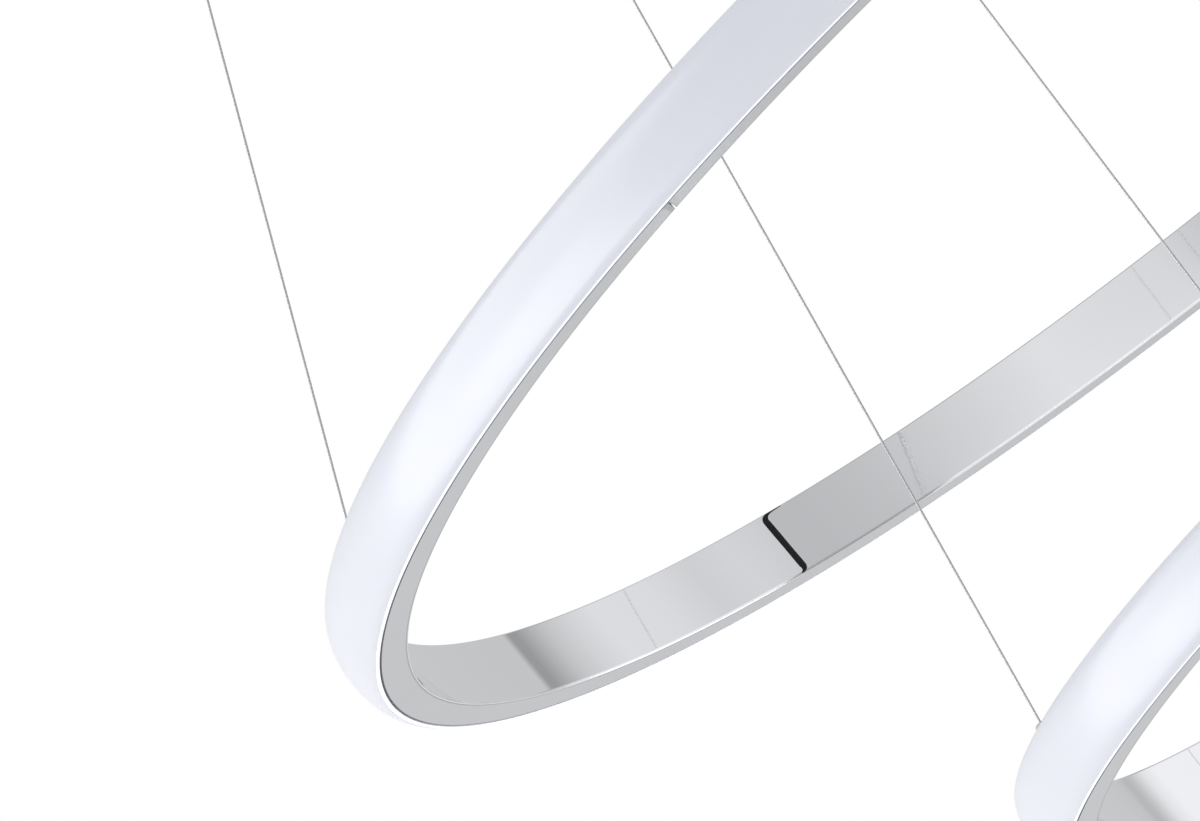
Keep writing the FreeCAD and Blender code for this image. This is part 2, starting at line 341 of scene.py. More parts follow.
# dark and light colour, swings of the noise to a metre, least roughness, its spread, relief in metres
FINISHES.update({
    "strand": cable_strand(),
    "nickel": plain_finish("nickel_plate", (0.56, 0.55, 0.53), (0.66, 0.65, 0.63),
                           160.0, 0.16, 0.1, Metallic=1.0),
    # painted shadow: near-black flange ends beside the band's lips
    "painted_shadow_edge": plain_finish("painted_shadow_edge", (0.08, 0.08, 0.085), (0.15, 0.15, 0.155),
                             300.0, 0.5, 0.1, Metallic=1.0),
    # painted shade: a darker line beside the inner wall's round
    "painted_bend_shade": plain_finish("painted_bend_shade", (0.36, 0.365, 0.38), (0.46, 0.465, 0.48),
                              90.0, 0.35, 0.1, Metallic=1.0),
    "zinc": plain_finish("zinc_plate", (0.44, 0.45, 0.47), (0.62, 0.63, 0.64),
                         70.0, 0.32, 0.2, Metallic=1.0),
    "enamel": plain_finish("white_enamel", (0.79, 0.79, 0.785), (0.83, 0.83, 0.825),
                           420.0, 0.3, 0.1, 0.03 * MM),
    "case": plain_finish("supply_case", (0.74, 0.74, 0.72), (0.80, 0.80, 0.78),
                         600.0, 0.42, 0.12, 0.05 * MM),
    "terminal": plain_finish("terminal_moulding", (0.62, 0.60, 0.54), (0.70, 0.68, 0.62),
                             300.0, 0.45, 0.1, 0.03 * MM),
    "soft_strip": plain_finish("black_soft_strip", (0.004, 0.004, 0.005), (0.012, 0.012, 0.014),
                               900.0, 0.5, 0.2, 0.02 * MM, Specular_IOR_Level=0.2),
    "light_strip": plain_finish("light_strip", (0.78, 0.78, 0.74), (0.86, 0.86, 0.82),
                                250.0, 0.4, 0.1),
})
print("finishes:", sorted(FINISHES))

# %% [markdown]
# ## Surfaces from arrays
# Every new piece is a grid of points worked out at once: a section carried round a circle or along a
# path. One helper turns such a grid into a mesh. It joins neighbours with four-sided faces, closes the
# ends where the section is a ring, and turns all the faces outwards.


# %% Grid to mesh
def face_outwards(mesh):
    """Turn all faces of a closed mesh outwards."""
    shell = bmesh.new()
    shell.from_mesh(mesh)
    bmesh.ops.recalc_face_normals(shell, faces=shell.faces)
    shell.to_mesh(mesh)
    shell.free()


def mesh_from_grid(name, grid, slots, slot_of_column=None, uv=None, wrap=False, smooth=True):
    """Mesh of a (rows, columns, 3) grid; columns always close on themselves, rows if wrap is set.

    Face (i, j) joins points (i, j), (i+1, j), (i+1, j+1) and (i, j+1), counted round.
    """
    rows, columns, _ = grid.shape
    row = np.arange(rows if wrap else rows - 1)[:, None]
    column = np.arange(columns)[None, :]
    after_row, after_column = (row + 1) % rows, (column + 1) % columns
    quads = np.stack([
        row * columns + column,
        after_row * columns + column,
        after_row * columns + after_column,
        row * columns + after_column,
    ], axis=-1).reshape(-1, 4)
    first = np.arange(columns)
    caps = [] if wrap else [first[::-1].tolist(), (first + (rows - 1) * columns).tolist()]
    mesh = bpy.data.meshes.new(name)
    mesh.from_pydata(grid.reshape(-1, 3).tolist(), [], quads.tolist() + caps)
    face_outwards(mesh)
    mesh.polygons.foreach_set("use_smooth", [smooth] * len(quads) + [False] * len(caps))
    for slot in slots:
        mesh.materials.append(FINISHES[slot])
    if slot_of_column is not None:
        index = np.tile(slot_of_column, len(quads) // columns).tolist() + [0] * len(caps)
        mesh.polygons.foreach_set("material_index", index)
    if uv is not None:
        layer = mesh.uv_layers.new(name="across_along")
        corners = np.zeros(len(mesh.loops), dtype=np.int32)
        mesh.loops.foreach_get("vertex_index", corners)
        layer.data.foreach_set("uv", uv.reshape(-1, 2)[corners].ravel())
    mesh.update()
    piece = bpy.data.objects.new(name, mesh)
    bpy.context.scene.collection.objects.link(piece)
    return piece


print("grids become closed meshes, faces outwards")

# %% [markdown]
# ## Outlines and circles
# A ring is one outline carried round a circle. Metal that was bent or sawn has no knife-sharp corner, so
# each corner of an outline is first rounded by a curve of its own size. Then the angle, the radius and
# the height of every point give the whole grid at once, with no loop over the points.

# %% Outline carried round
CORNER_STEPS = 7                    # points on each corner's curve
CORNER_POINTS = CORNER_STEPS + 2    # and one on the flat at each side


def softened(corners, radii, flats):
    """Outline with each corner rounded by its own radius.

    Each corner C becomes the curve (1-t)^2 A + 2t(1-t) C + t^2 B, where A and B lie a radius before and
    after it, plus one more point on each side, a bit of flat away, that keeps the flats flat.
    """
    corners = np.asarray(corners, float)
    radii, flats = np.asarray(radii, float)[:, None], np.asarray(flats, float)[:, None]
    before = np.roll(corners, 1, axis=0) - corners
    after = np.roll(corners, -1, axis=0) - corners
    before /= np.linalg.norm(before, axis=1, keepdims=True)
    after /= np.linalg.norm(after, axis=1, keepdims=True)
    t = np.linspace(0, 1, CORNER_STEPS)[None, :, None]
    start = (corners + before * radii)[:, None]
    end = (corners + after * radii)[:, None]
    curve = (1 - t) ** 2 * start + 2 * t * (1 - t) * corners[:, None] + t ** 2 * end
    lead = (corners + before * (radii + flats))[:, None]
    tail = (corners + after * (radii + flats))[:, None]
    return np.concatenate([lead, curve, tail], axis=1).reshape(-1, 2)


def carried_round(outline, angles, centre, bottom):
    """Grid of the points centre + (r cos a, r sin a, z) for every angle a and outline point (r, z).

    The angles are one for each row, or a whole grid where they change across the outline too.
    """
    radius, height = outline[:, 0][None, :], outline[:, 1][None, :]
    a = angles if angles.ndim == 2 else angles[:, None]
    return np.stack(np.broadcast_arrays(
        centre + radius * np.cos(a), radius * np.sin(a), bottom + height + 0 * a), axis=-1)


def round_uv(outline, angles, radius):
    """Surface coordinates: metres round the ring, and metres along the outline."""
    step = np.linalg.norm(np.roll(outline, -1, axis=0) - outline, axis=1)
    along = np.concatenate([[0], np.cumsum(step)[:-1]])
    return np.stack(np.broadcast_arrays(angles[:, None] * radius, along[None, :]), axis=-1)


print("points to a rounded corner:", CORNER_POINTS)

# %% [markdown]
# ## The metal channels
# A roll-former bends flat strip into a U, and a second set of rolls bends the U into a ring. The bends
# come out slightly round, and that small round is what catches the light as a thin bright line, so it is
# modelled and not left to the shader. Beside the inner round, a darker line on the underside is painted
# shade, and the flanges' ends are painted near-black, a painted shadow that darkens the fine shadow line
# beside the opal band. The two ends meet in a butt joint that was sawn a little aslant, so the angle of
# each point near it depends on the point's radius.

# %% Channels
CHANNEL_STEPS = 900
EDGE_ROUND = 0.5 * MM
INNER_ROUND = 0.6 * MM      # where the inner wall bends into the flanges
BEND_SHADE_WIDTH = 0.7 * MM        # width of the painted shade line on the underside beside the inner wall's round
SHORT_FLAT = 0.1 * MM
LIP_FLAT = 0.25 * MM        # the band's lips are this thick beside the flanges' ends
SHADOW_GAP = 0.45 * MM      # dark line left between a flange's end and the lip
JOINT_SLANT = 0.6           # run of the saw cut along the ring, as a share of its radial depth
JOINT_FADE = 14 * MM        # the slant dies away over this length
SATIN, POLISHED, SHADED_BEND, PAINTED_SHADOW = range(4)
CHANNEL_SLOTS = ("satin", "polished", "painted_bend_shade", "painted_shadow_edge")


def at_corner(corner, point=0):
    """Number of a point of the outline, counted from the flat before this corner."""
    return corner * CORNER_POINTS + point


def channel_outline(ring):
    """The U section, open to the outside, and the finish of the strip after each of its points.

    Corner 0 is the inner one below and corner 7 the one above it. Corners 1 and 2 are the lower flange's
    end, 3 and 4 the floor of the U, and 5 and 6 the upper flange's end.
    """
    inner = ring["radius"] - RING_DEPTH
    end = ring["radius"] - LIP_FLAT - SHADOW_GAP
    floor = inner + CHANNEL_WALL
    height = ring["height"]
    outline = softened([
        (inner, 0), (end, 0), (end, CHANNEL_WALL), (floor, CHANNEL_WALL),
        (floor, height - CHANNEL_WALL), (end, height - CHANNEL_WALL), (end, height), (inner, height),
    ], [INNER_ROUND] + [EDGE_ROUND] * 6 + [INNER_ROUND], [BEND_SHADE_WIDTH] + [SHORT_FLAT] * 7)
    curve_start, curve_end, tail = 1, CORNER_STEPS, CORNER_STEPS + 1
    finish = np.full(len(outline), SATIN)
    finish[:at_corner(0, curve_end)] = POLISHED
    finish[at_corner(7, curve_start):] = POLISHED
    # painted shade: a darker line on the underside just past the inner round
    finish[at_corner(0, curve_end)] = SHADED_BEND
    # painted shadow: the flanges' ends are near-black
    finish[at_corner(1, curve_start):at_corner(2)] = PAINTED_SHADOW
    finish[at_corner(5, tail):at_corner(6, curve_end)] = PAINTED_SHADOW
    return outline, finish


def make_channel(level):
    """Section carried round all but the joint's gap.

    Near the joint the angle of a point depends on its radius: angle = a + slant (r - middle) / r.
    """
    ring = RINGS[level]
    outline, finish = channel_outline(ring)
    inner = ring["radius"] - RING_DEPTH
    middle = ring["radius"] - RING_DEPTH / 2
    half_gap = JOINT_GAP / middle / 2
    start = np.radians(JOINT_AZIMUTH) + half_gap
    stop = np.radians(JOINT_AZIMUTH + 360) - half_gap
    angles = np.linspace(start, stop, CHANNEL_STEPS)
    from_joint = np.minimum(angles - start, stop - angles) * middle
    fade = np.exp(-from_joint / JOINT_FADE)[:, None]
    slant = (JOINT_SLANT * (outline[:, 0] - middle) / outline[:, 0])[None, :]
    grid = carried_round(outline, angles[:, None] + fade * slant, ring["centre"], ring["bottom"])
    piece = mesh_from_grid(level + "_ring_channel_shell", grid, uv=round_uv(outline, angles, inner),
                           slots=CHANNEL_SLOTS, slot_of_column=finish)
    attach(piece, level + "_ring")
    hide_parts(level + "_ring_channel")
    return piece


for level in LEVELS:
    channel = make_channel(level)
    print(channel.name, len(channel.data.polygons), "faces")

# %% [markdown]
# ## The black soft strips
# A strip of black soft plastic is bonded across each inner wall. Its ends were drawn out while it was
# soft: a thin tail runs along the top edge to one side, and a short one along the bottom edge to the
# other. So its line is a path on the wall with a width that changes along it, and a D section, flat in
# the wall and round outside, is carried along that path.

# %% Soft strips
# distance along the wall, height above the bottom or below the top, and width, in millimetres
TOP_TAIL = [(12.0, -0.38, 0.3), (7.0, -0.5, 0.5), (4.2, -0.62, 0.8), (2.3, -0.95, 1.5),
            (0.9, -1.8, 2.6), (0.0, -3.0, 3.7)]
STRIP_RUN = [(0.0, 20.0, 3.8), (0.0, 15.0, 3.7), (0.0, 10.0, 3.7), (0.0, 6.0, 3.8)]
BOTTOM_TAIL = [(0.0, 2.9, 3.8), (-0.6, 1.8, 2.4), (-1.6, 1.0, 1.2), (-3.4, 0.7, 0.3)]
STRIP_POINTS = 120
STRIP_AROUND = 20
MEAN_SIDE = 2               # points on each side that the running mean takes in
STRIP_PROUD = 0.22 * MM
STRIP_SUNK = 0.4 * MM


def strip_path(height):
    """Points (along, up) and width at even steps, rounded by a running mean of five."""
    top_tail = [(along, height / MM + up, width) for along, up, width in TOP_TAIL]
    drawn = np.array(top_tail + STRIP_RUN + BOTTOM_TAIL) * MM
    step = np.linalg.norm(np.diff(drawn[:, :2], axis=0), axis=1)
    travelled = np.concatenate([[0], np.cumsum(step)])
    at = np.linspace(0, travelled[-1], STRIP_POINTS)
    path = np.stack([np.interp(at, travelled, drawn[:, k]) for k in range(3)], axis=1)
    padded = np.concatenate([path[:1]] * MEAN_SIDE + [path] + [path[-1:]] * MEAN_SIDE)
    share = np.full(2 * MEAN_SIDE + 1, 1 / (2 * MEAN_SIDE + 1))
    return np.stack([np.convolve(padded[:, k], share, "valid") for k in range(3)], axis=1)


def make_soft_strip(level):
    """D section: across = width/2 cos v, out = proud sin v above the wall and sunk sin v in it.

    Where the strip is under a millimetre wide, it is thinner in the same measure.
    """
    ring = RINGS[level]
    inner = ring["radius"] - RING_DEPTH
    path = strip_path(ring["height"])
    ahead = np.gradient(path[:, :2], axis=0)
    ahead /= np.linalg.norm(ahead, axis=1, keepdims=True)
    width = path[:, 2:3]
    v = np.linspace(0, 2 * np.pi, STRIP_AROUND, endpoint=False)[None, :]
    across = width / 2 * np.cos(v)
    out = np.sin(v) * np.where(np.sin(v) > 0, STRIP_PROUD, STRIP_SUNK) * np.minimum(width / MM, 1)
    along = path[:, 0:1] - ahead[:, 1:2] * across
    up = path[:, 1:2] + ahead[:, 0:1] * across
    angle = np.radians(INSERT_AZIMUTH) - along / inner
    reach = inner - out
    grid = np.stack([ring["centre"] + reach * np.cos(angle), reach * np.sin(angle), ring["bottom"] + up],
                    axis=-1)
    piece = mesh_from_grid(level + "_ring_soft_strip", grid, slots=("soft_strip",))
    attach(piece, level + "_ring")
    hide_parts(level + "_ring_joint_insert")
    return piece


for level in LEVELS:
    strip = make_soft_strip(level)
    print(strip.name, len(strip.data.polygons), "faces")

# %% [markdown]
# ## The opal bands
# The band is an extrusion too. Its outer face bulges in half an ellipse, so a highlight narrows on it,
# and its two edges stand just outside the metal as bright lips. A step in its back makes room for the
# metal flanges. The lips are the same surface with the lip finish, whose stronger glow is a painted
# highlight.

# %% Bands
BAND_STEPS = 720
FACE_POINTS = 49
LIP_POINTS = 3
FLANGE_ROOM = CHANNEL_WALL + 0.2 * MM       # a flange and the slack above it
OPAL, LIP = range(2)


def band_outline(ring):
    """Half an ellipse, r = R + crown * cos(t), z = middle + half * sin(t), then the stepped back."""
    half = ring["height"] / 2
    t = np.linspace(-np.pi / 2, np.pi / 2, FACE_POINTS)
    face = np.stack([ring["radius"] + CROWN * np.cos(t), half + half * np.sin(t)], axis=1)
    back, rebate, step = ring["radius"] - BAND_THICKNESS, ring["radius"] - LIP_FLAT, FLANGE_ROOM
    backs = np.array([(rebate, 2 * half), (rebate, 2 * half - step), (back, 2 * half - step),
                      (back, half), (back, step), (rebate, step), (rebate, 0)])
    outline = np.concatenate([face, backs])
    finish = np.full(len(outline), OPAL)
    finish[:LIP_POINTS] = LIP
    finish[FACE_POINTS - 1 - LIP_POINTS:FACE_POINTS + 1] = LIP
    finish[-1] = LIP
    return outline, finish


def make_band(level):
    """Outline carried once round."""
    ring = RINGS[level]
    outline, finish = band_outline(ring)
    angles = np.linspace(0, 2 * np.pi, BAND_STEPS, endpoint=False)
    grid = carried_round(outline, angles, ring["centre"], ring["bottom"])
    piece = mesh_from_grid(level + "_ring_opal_band", grid, wrap=True, slots=("opal", "lip"),
                           slot_of_column=finish)
    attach(piece, level + "_ring")
    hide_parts(level + "_ring_diffuser")
    return piece


for level in LEVELS:
    band = make_band(level)
    print(band.name, len(band.data.polygons), "faces")

# %% [markdown]
# ## The canopy
# The canopy is a shallow spun drum in white enamel. Spinning leaves a soft lower edge. One line turned
# about the centre makes it: from the middle of its underside, round the edge and up, over the rim, and
# down inside to the middle again. The two ends close with a flat disc each.

# %% Canopy
CANOPY_WALL = 1.2 * MM
CANOPY_EDGE = 1.4 * MM
CANOPY_STEPS = 256
EDGE_POINTS = 12
RIM_ROUND = 0.2 * MM
FLAT_CIRCLES = (0.1, 0.6)       # circles on the flat parts, as shares of the radius


def make_canopy():
    """Drum line turned once round; its soft edge is a quarter circle."""
    low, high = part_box("canopy_shell")
    radius = (high.y - low.y) / 2
    turn = np.linspace(-np.pi / 2, 0, EDGE_POINTS)
    edge = np.stack([radius + CANOPY_EDGE * (np.cos(turn) - 1),
                     low.z + CANOPY_EDGE * (np.sin(turn) + 1)], axis=1)
    inside, floor = radius - CANOPY_WALL, low.z + CANOPY_WALL
    underside = [(radius * share, low.z) for share in FLAT_CIRCLES]
    rim = [(radius, high.z - RIM_ROUND), (radius - RIM_ROUND, high.z),
           (inside + RIM_ROUND, high.z), (inside, high.z - RIM_ROUND)]
    hollow = [(inside, floor + RIM_ROUND), (inside - RIM_ROUND, floor)]
    hollow += [(radius * share, floor) for share in reversed(FLAT_CIRCLES)]
    line = np.concatenate([underside, edge, rim, hollow])
    angles = np.linspace(0, 2 * np.pi, CANOPY_STEPS, endpoint=False)
    grid = carried_round(line, angles, 0.0, 0.0).transpose(1, 0, 2)
    piece = mesh_from_grid("canopy_drum", grid, slots=("enamel",))
    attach(piece, "ceiling_unit")
    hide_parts("canopy_shell")
    return piece


canopy = make_canopy()
print("canopy drum:", len(canopy.data.polygons), "faces")

# %% [markdown]
# ## Turned hexagons
# Grippers, release tips and studs are turned from hexagon bar. Where the tool has cut, the section is a
# circle, and elsewhere it is still the hexagon. So at every height the reach is the smaller of the two:
# the bar's hexagon and the circle that the tool left. Chamfers, necks, grooves and bores all come from
# that one rule.

# %% Turned hexagons
AROUND = np.radians(np.arange(0, 360, 5.0))
CHAMFER = 0.5 * MM              # height that a chamfer takes off a bar's end
CHAMFER_REACH = 0.95            # radius left at the very end, as a share of half the flats
CHAMFER_FLARE = 1.7             # how fast it grows with height: a cone at about thirty degrees


def turned_hexagon(name, centre, azimuth, flats, cuts, bored=False):
    """Reach = min(flats / 2 / cos(angle to the nearest flat), turned radius), for cuts (radius, z)."""
    cuts = np.array(cuts)
    to_flat = (AROUND + np.pi / 6) % (np.pi / 3) - np.pi / 6
    reach = np.minimum(flats / 2 / np.cos(to_flat)[None, :], cuts[:, 0][:, None])
    around = (AROUND + azimuth)[None, :]
    grid = np.stack(np.broadcast_arrays(
        centre[0] + reach * np.cos(around), centre[1] + reach * np.sin(around), cuts[:, 1][:, None]),
        axis=-1)
    return mesh_from_grid(name, grid, wrap=bored, slots=("nickel",), smooth=False)


def chamfered(flats, low, high):
    """Cuts of a plain bar: a cone at each end, thirty degrees to its face, and the full bar between."""
    rise = np.array([0.0, 0.33, 0.66, 1.0]) * CHAMFER
    reach = flats / 2 * CHAMFER_REACH + rise * CHAMFER_FLARE
    return list(zip(reach, low + rise)) + list(zip(reach[::-1], high - rise[::-1]))


def solid_boxes(node, count):
    """Boxes of a node's separate solids, found by sorting its points by their angle about the centre."""
    points = np.array([v.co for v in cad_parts[node].data.vertices], float)
    middle = (points.min(axis=0) + points.max(axis=0)) / 2
    angle = np.arctan2(points[:, 1] - middle[1], points[:, 0] - middle[0])
    order = np.argsort(angle)
    steps = np.diff(np.concatenate([angle[order], [angle[order[0]] + 2 * np.pi]]))
    cuts = np.sort(np.argsort(steps)[-count:])
    groups = np.split(np.roll(order, -(cuts[0] + 1)), np.cumsum(np.diff(cuts)))
    return [(points[g].min(axis=0), points[g].max(axis=0)) for g in groups]


def dress(piece, body, node):
    """Let a piece ride on a body, in place of a solid, which is hidden."""
    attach(piece, body)
    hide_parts(node)


print("points round a turned piece:", len(AROUND))

# %% [markdown]
# ## Studs, grippers and release tips
# Each cable ends in a low stud on its ring. At the top it passes through a spring-loaded tip into a
# gripper under the canopy. Pushing the tip up frees the cable, so the tip is a piece of its own and
# rides on its own body.

# %% Small hardware
STUD_FLATS = 5.0 * MM
GRIPPER_FLATS = 10.0 * MM
GRIPPER_BODY = 12.0 * MM        # height under the canopy
NECK_RADIUS = 2.6 * MM
BORE_RADIUS = 2.85 * MM
BORE_DEPTH = 7.4 * MM
BORE_LEAD = 0.2 * MM            # chamfer at the bore's mouth
TIP_FLATS = 4.8 * MM
# radius and height of each cut on a release tip, in millimetres
TIP_CUTS = [(0.75, 0.3), (1.0, 0.0), (2.0, 0.0), (2.3, 0.15), (2.55, 0.4), (2.8, 0.7), (2.8, 1.4),
            (2.1, 1.6), (2.1, 2.2), (2.8, 2.4), (2.8, 8.7), (2.5, 8.9), (2.2, 9.0), (0.75, 9.0)]


def make_hardware(level):
    """Three studs, three grippers and three tips of one ring, each on its cable's line."""
    for count, (low, high) in enumerate(solid_boxes(level + "_ring_cable_studs", 3), 1):
        middle = (low + high) / 2
        azimuth = np.arctan2(middle[1], middle[0] - RINGS[level]["centre"])
        stud = turned_hexagon(f"{level}_ring_stud_{count}", middle, azimuth, STUD_FLATS,
                              chamfered(STUD_FLATS, low[2], high[2]))
        dress(stud, level + "_ring", level + "_ring_cable_studs")
    low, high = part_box(level + "_ring_grippers")
    bore = [(BORE_RADIUS, low.z + BORE_DEPTH), (BORE_RADIUS, low.z + BORE_LEAD),
            (BORE_RADIUS + BORE_LEAD, low.z)]
    neck = [(NECK_RADIUS, low.z + GRIPPER_BODY), (NECK_RADIUS, high.z)]
    for count in (1, 2, 3):
        tip_node = f"{level}_ring_release_tip_{count}"
        tip_low, tip_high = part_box(tip_node)
        middle = (tip_low + tip_high) / 2
        azimuth = np.arctan2(middle.y, middle.x)
        gripper = turned_hexagon(f"{level}_ring_gripper_{count}", middle, azimuth, GRIPPER_FLATS,
                                 bore + chamfered(GRIPPER_FLATS, low.z, low.z + GRIPPER_BODY) + neck)
        dress(gripper, "ceiling_unit", level + "_ring_grippers")
        cuts = [(radius * MM, tip_low.z + z * MM) for radius, z in TIP_CUTS]
        tip = turned_hexagon(f"{level}_ring_tip_sleeve_{count}", middle, azimuth, TIP_FLATS, cuts,
                             bored=True)
        dress(tip, tip_node + "_body", tip_node)


for level in LEVELS:
    make_hardware(level)
print("studs, grippers and tips: 9 of each")

# %% [markdown]
# ## The cables
# Each cable is a strand of seven steel wires, six of them wound round the seventh with a lay of nine
# millimetres. The path goes straight down out of the release tip, bends once and runs taut to its stud.
# The section is a circle with six lobes, and it turns as it goes along, so the lobes become the wires.

# %% Cables
STRAND_RADIUS = 0.5 * MM
LAY_LENGTH = 9 * MM
STRAND_STEP = 0.75 * MM
BEND_LENGTH = 2 * MM
BEND_POINTS = 7
LOBE = 0.06                     # share of the radius by which the wires stand out


def cable_path(head, mouth, foot):
    """Straight from head to just above the mouth, a parabola round it, then straight to the foot."""
    slant = (foot - mouth) / np.linalg.norm(foot - mouth)
    above = mouth + [0, 0, BEND_LENGTH]
    below = mouth + slant * BEND_LENGTH
    t = np.linspace(0, 1, BEND_POINTS)[:, None]
    curve = (1 - t) ** 2 * above + 2 * t * (1 - t) * mouth + t ** 2 * below
    upper = np.linspace(0, 1, int((head[2] - above[2]) / STRAND_STEP))[:-1, None]
    lower = np.linspace(0, 1, int(np.linalg.norm(foot - below) / STRAND_STEP))[1:, None]
    return np.concatenate([
        head * (1 - upper) + above * upper, curve, below * (1 - lower) + foot * lower])


def cable_ends(level, count):
    """Head in the gripper, mouth of the tip, and foot on the stud.

    The foot is the stud whose midpoint with the tip lies nearest the middle of the cable's own box.
    """
    tip_low, tip_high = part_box(f"{level}_ring_release_tip_{count}")
    low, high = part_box(f"{level}_ring_cable_{count}")
    start = np.array(((tip_low + tip_high) / 2)[:2])
    middle = np.array([low.x + high.x, low.y + high.y]) / 2
    studs = [(b[0] + b[1])[:2] / 2 for b in solid_boxes(level + "_ring_cable_studs", 3)]
    foot = min(studs, key=lambda stud: float(np.linalg.norm((stud + start) / 2 - middle)))
    return np.array([*start, high.z]), np.array([*start, tip_low.z]), np.array([*foot, low.z])


def make_strand(level, count):
    """Tube about the path: reach = r (0.94 + 0.06 cos 6a), turned by a full turn each lay length."""
    head, mouth, foot = cable_ends(level, count)
    path = cable_path(head, mouth, foot)
    ahead = np.gradient(path, axis=0)
    ahead /= np.linalg.norm(ahead, axis=1, keepdims=True)
    side = np.cross([0, 0, 1.0], path[-1] - path[0])
    side /= np.linalg.norm(side)
    third = np.cross(ahead, side[None, :])
    step = np.linalg.norm(np.diff(path, axis=0), axis=1)
    travelled = np.concatenate([[0], np.cumsum(step)])[:, None]
    angle = np.linspace(0, 2 * np.pi, 2 * OUTER_WIRES, endpoint=False)[None, :]
    turned = (angle + travelled / LAY_LENGTH * 2 * np.pi)[..., None]
    reach = STRAND_RADIUS * (1 - LOBE + LOBE * np.cos(OUTER_WIRES * angle))[..., None]
    grid = path[:, None, :] + reach * (np.cos(turned) * side + np.sin(turned) * third[:, None, :])
    uv = np.stack(np.broadcast_arrays(angle / (2 * np.pi), travelled), axis=-1)
    node = f"{level}_ring_cable_{count}"
    piece = mesh_from_grid(node + "_strand", grid, uv=uv, slots=("strand",))
    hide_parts(node)
    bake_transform(piece)
    return float(travelled[-1, 0])


lengths = [make_strand(level, count) for level in LEVELS for count in (1, 2, 3)]
print("cable lengths in metres:", [round(length, 3) for length in lengths])

# %% [markdown]
# ## What hides in the canopy
# The bar, the supplies, the terminals, the clips and the side screws are pressed, folded and moulded, so
# none of them has a knife-sharp edge. Each is a copy of its solid with the loose triangles joined and
# the flats made whole, and a Bevel modifier that eases the edges.

# %% Eased copies of the solids
# solid: name of its copy, finish, and width of the eased edges in millimetres
EASED = {
    "mounting_bar": ("bar_with_eased_edges", "zinc", 0.25),
    "terminal_block": ("terminals", "terminal", 0.6),
    "gripper_clips": ("clips", "zinc", 0.15),
    "canopy_side_screws": ("side_screws", "nickel", 0.15),
    **{level + "_ring_driver": (level + "_ring_supply", "case", 1.2) for level in LEVELS},
}
SAME_POINT = 0.001 * MM
SAME_FLAT = np.radians(1)
SHARP_EDGE = np.radians(40)
EASE_SEGMENTS = 3


def eased_copy(node, name, finish, width):
    """Joined copy of a solid whose edges sharper than forty degrees are rounded by this width."""
    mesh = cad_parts[node].data.copy()
    mesh.name = name
    shell = bmesh.new()
    shell.from_mesh(mesh)
    bmesh.ops.remove_doubles(shell, verts=shell.verts, dist=SAME_POINT)
    bmesh.ops.dissolve_limit(shell, angle_limit=SAME_FLAT, verts=shell.verts, edges=shell.edges)
    shell.to_mesh(mesh)
    shell.free()
    mesh.materials.clear()
    mesh.materials.append(FINISHES[finish])
    piece = bpy.data.objects.new(name, mesh)
    bpy.context.scene.collection.objects.link(piece)
    ease = piece.modifiers.new("ease", "BEVEL")
    ease.width, ease.segments = width, EASE_SEGMENTS
    ease.limit_method, ease.angle_limit = "ANGLE", SHARP_EDGE
    return piece


for node, (name, finish, width) in EASED.items():
    piece = eased_copy(node, name, finish, width * MM)
    dress(piece, "ceiling_unit", node)
print("eased copies:", sorted(EASED))

# %% [markdown]
# ## Finishes on the solids themselves
# Only the light strips and the splice plates still show as solids, deep inside the channels. All the
# others have a piece in their place. They take the same finishes even so, so that a solid matches its
# piece wherever someone looks at the two together.

# %% Finishes on the solids
SOLID_FINISH = {
    "mounting_bar": "zinc", "canopy_shell": "enamel", "canopy_side_screws": "nickel",
    "terminal_block": "terminal", "gripper_clips": "zinc", "driver": "case", "grippers": "nickel",
    "channel": "satin", "joint_insert": "soft_strip", "diffuser": "opal", "led_tape": "light_strip",
    "splice_plates": "zinc", "cable_studs": "nickel", "cable": "strand", "release_tip": "nickel",
}
for name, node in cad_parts.items():
    kind = name.split("_ring_")[-1].rstrip("_123")
    node.data.materials.clear()
    node.data.materials.append(FINISHES[SOLID_FINISH[kind]])
print("solids finished:", len(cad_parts))

# %% [markdown]
# ## The floor
# A pale floor lies well below the lamp. Rays that go straight to the camera, or off metal, see it two
# parts plain white and one part lit, so it is nearly white and still keeps the lamp's soft shadow. All
# other rays meet a matt floor. It is see-through from below, so that it never hides the lamp.

# %% Stage
FLOOR_Z = -2.7
FLOOR_REACH = 30.0
FLOOR_TONE = 0.92
FLOOR_WHITE = 0.65          # share of plain white in what the camera and the metal see


def floor_finish():
    """Pale floor: two parts white and one part lit to the camera and metal, clear from underneath."""
    pale = Finish("floor", Roughness=0.9, Base_Color=grey(FLOOR_TONE))
    camera, glossy, through = pale.rays()
    seen = pale.either(pale.either(camera, glossy), through)
    white = pale.node("Emission", {}, {"Color": grey(1.0), "Strength": 1.0})
    lit = Signal(pale, pale.shader.outputs[0])
    top = pale.node("MixShader", {}, {0: seen * FLOOR_WHITE, 1: lit, 2: white})
    clear = pale.node("BsdfTransparent", {}, {})
    from_below = pale.node("NewGeometry", {}, {}, out="Backfacing")
    pale.show(pale.node("MixShader", {}, {0: from_below, 1: top, 2: clear}))
    return pale.material


def flat_sheet(name, corners, height, material):
    """One flat face with these corners (x, y) at this height."""
    mesh = bpy.data.meshes.new(name)
    mesh.from_pydata([(x, y, height) for x, y in corners], [], [tuple(range(len(corners)))])
    mesh.materials.append(material)
    sheet = bpy.data.objects.new(name, mesh)
    bpy.context.scene.collection.objects.link(sheet)
    return sheet


floor_corners = [(x * FLOOR_REACH, y * FLOOR_REACH) for x, y in ((-1, -1), (1, -1), (1, 1), (-1, 1))]
flat_sheet("floor", floor_corners, FLOOR_Z, floor_finish())
print("floor at", FLOOR_Z)

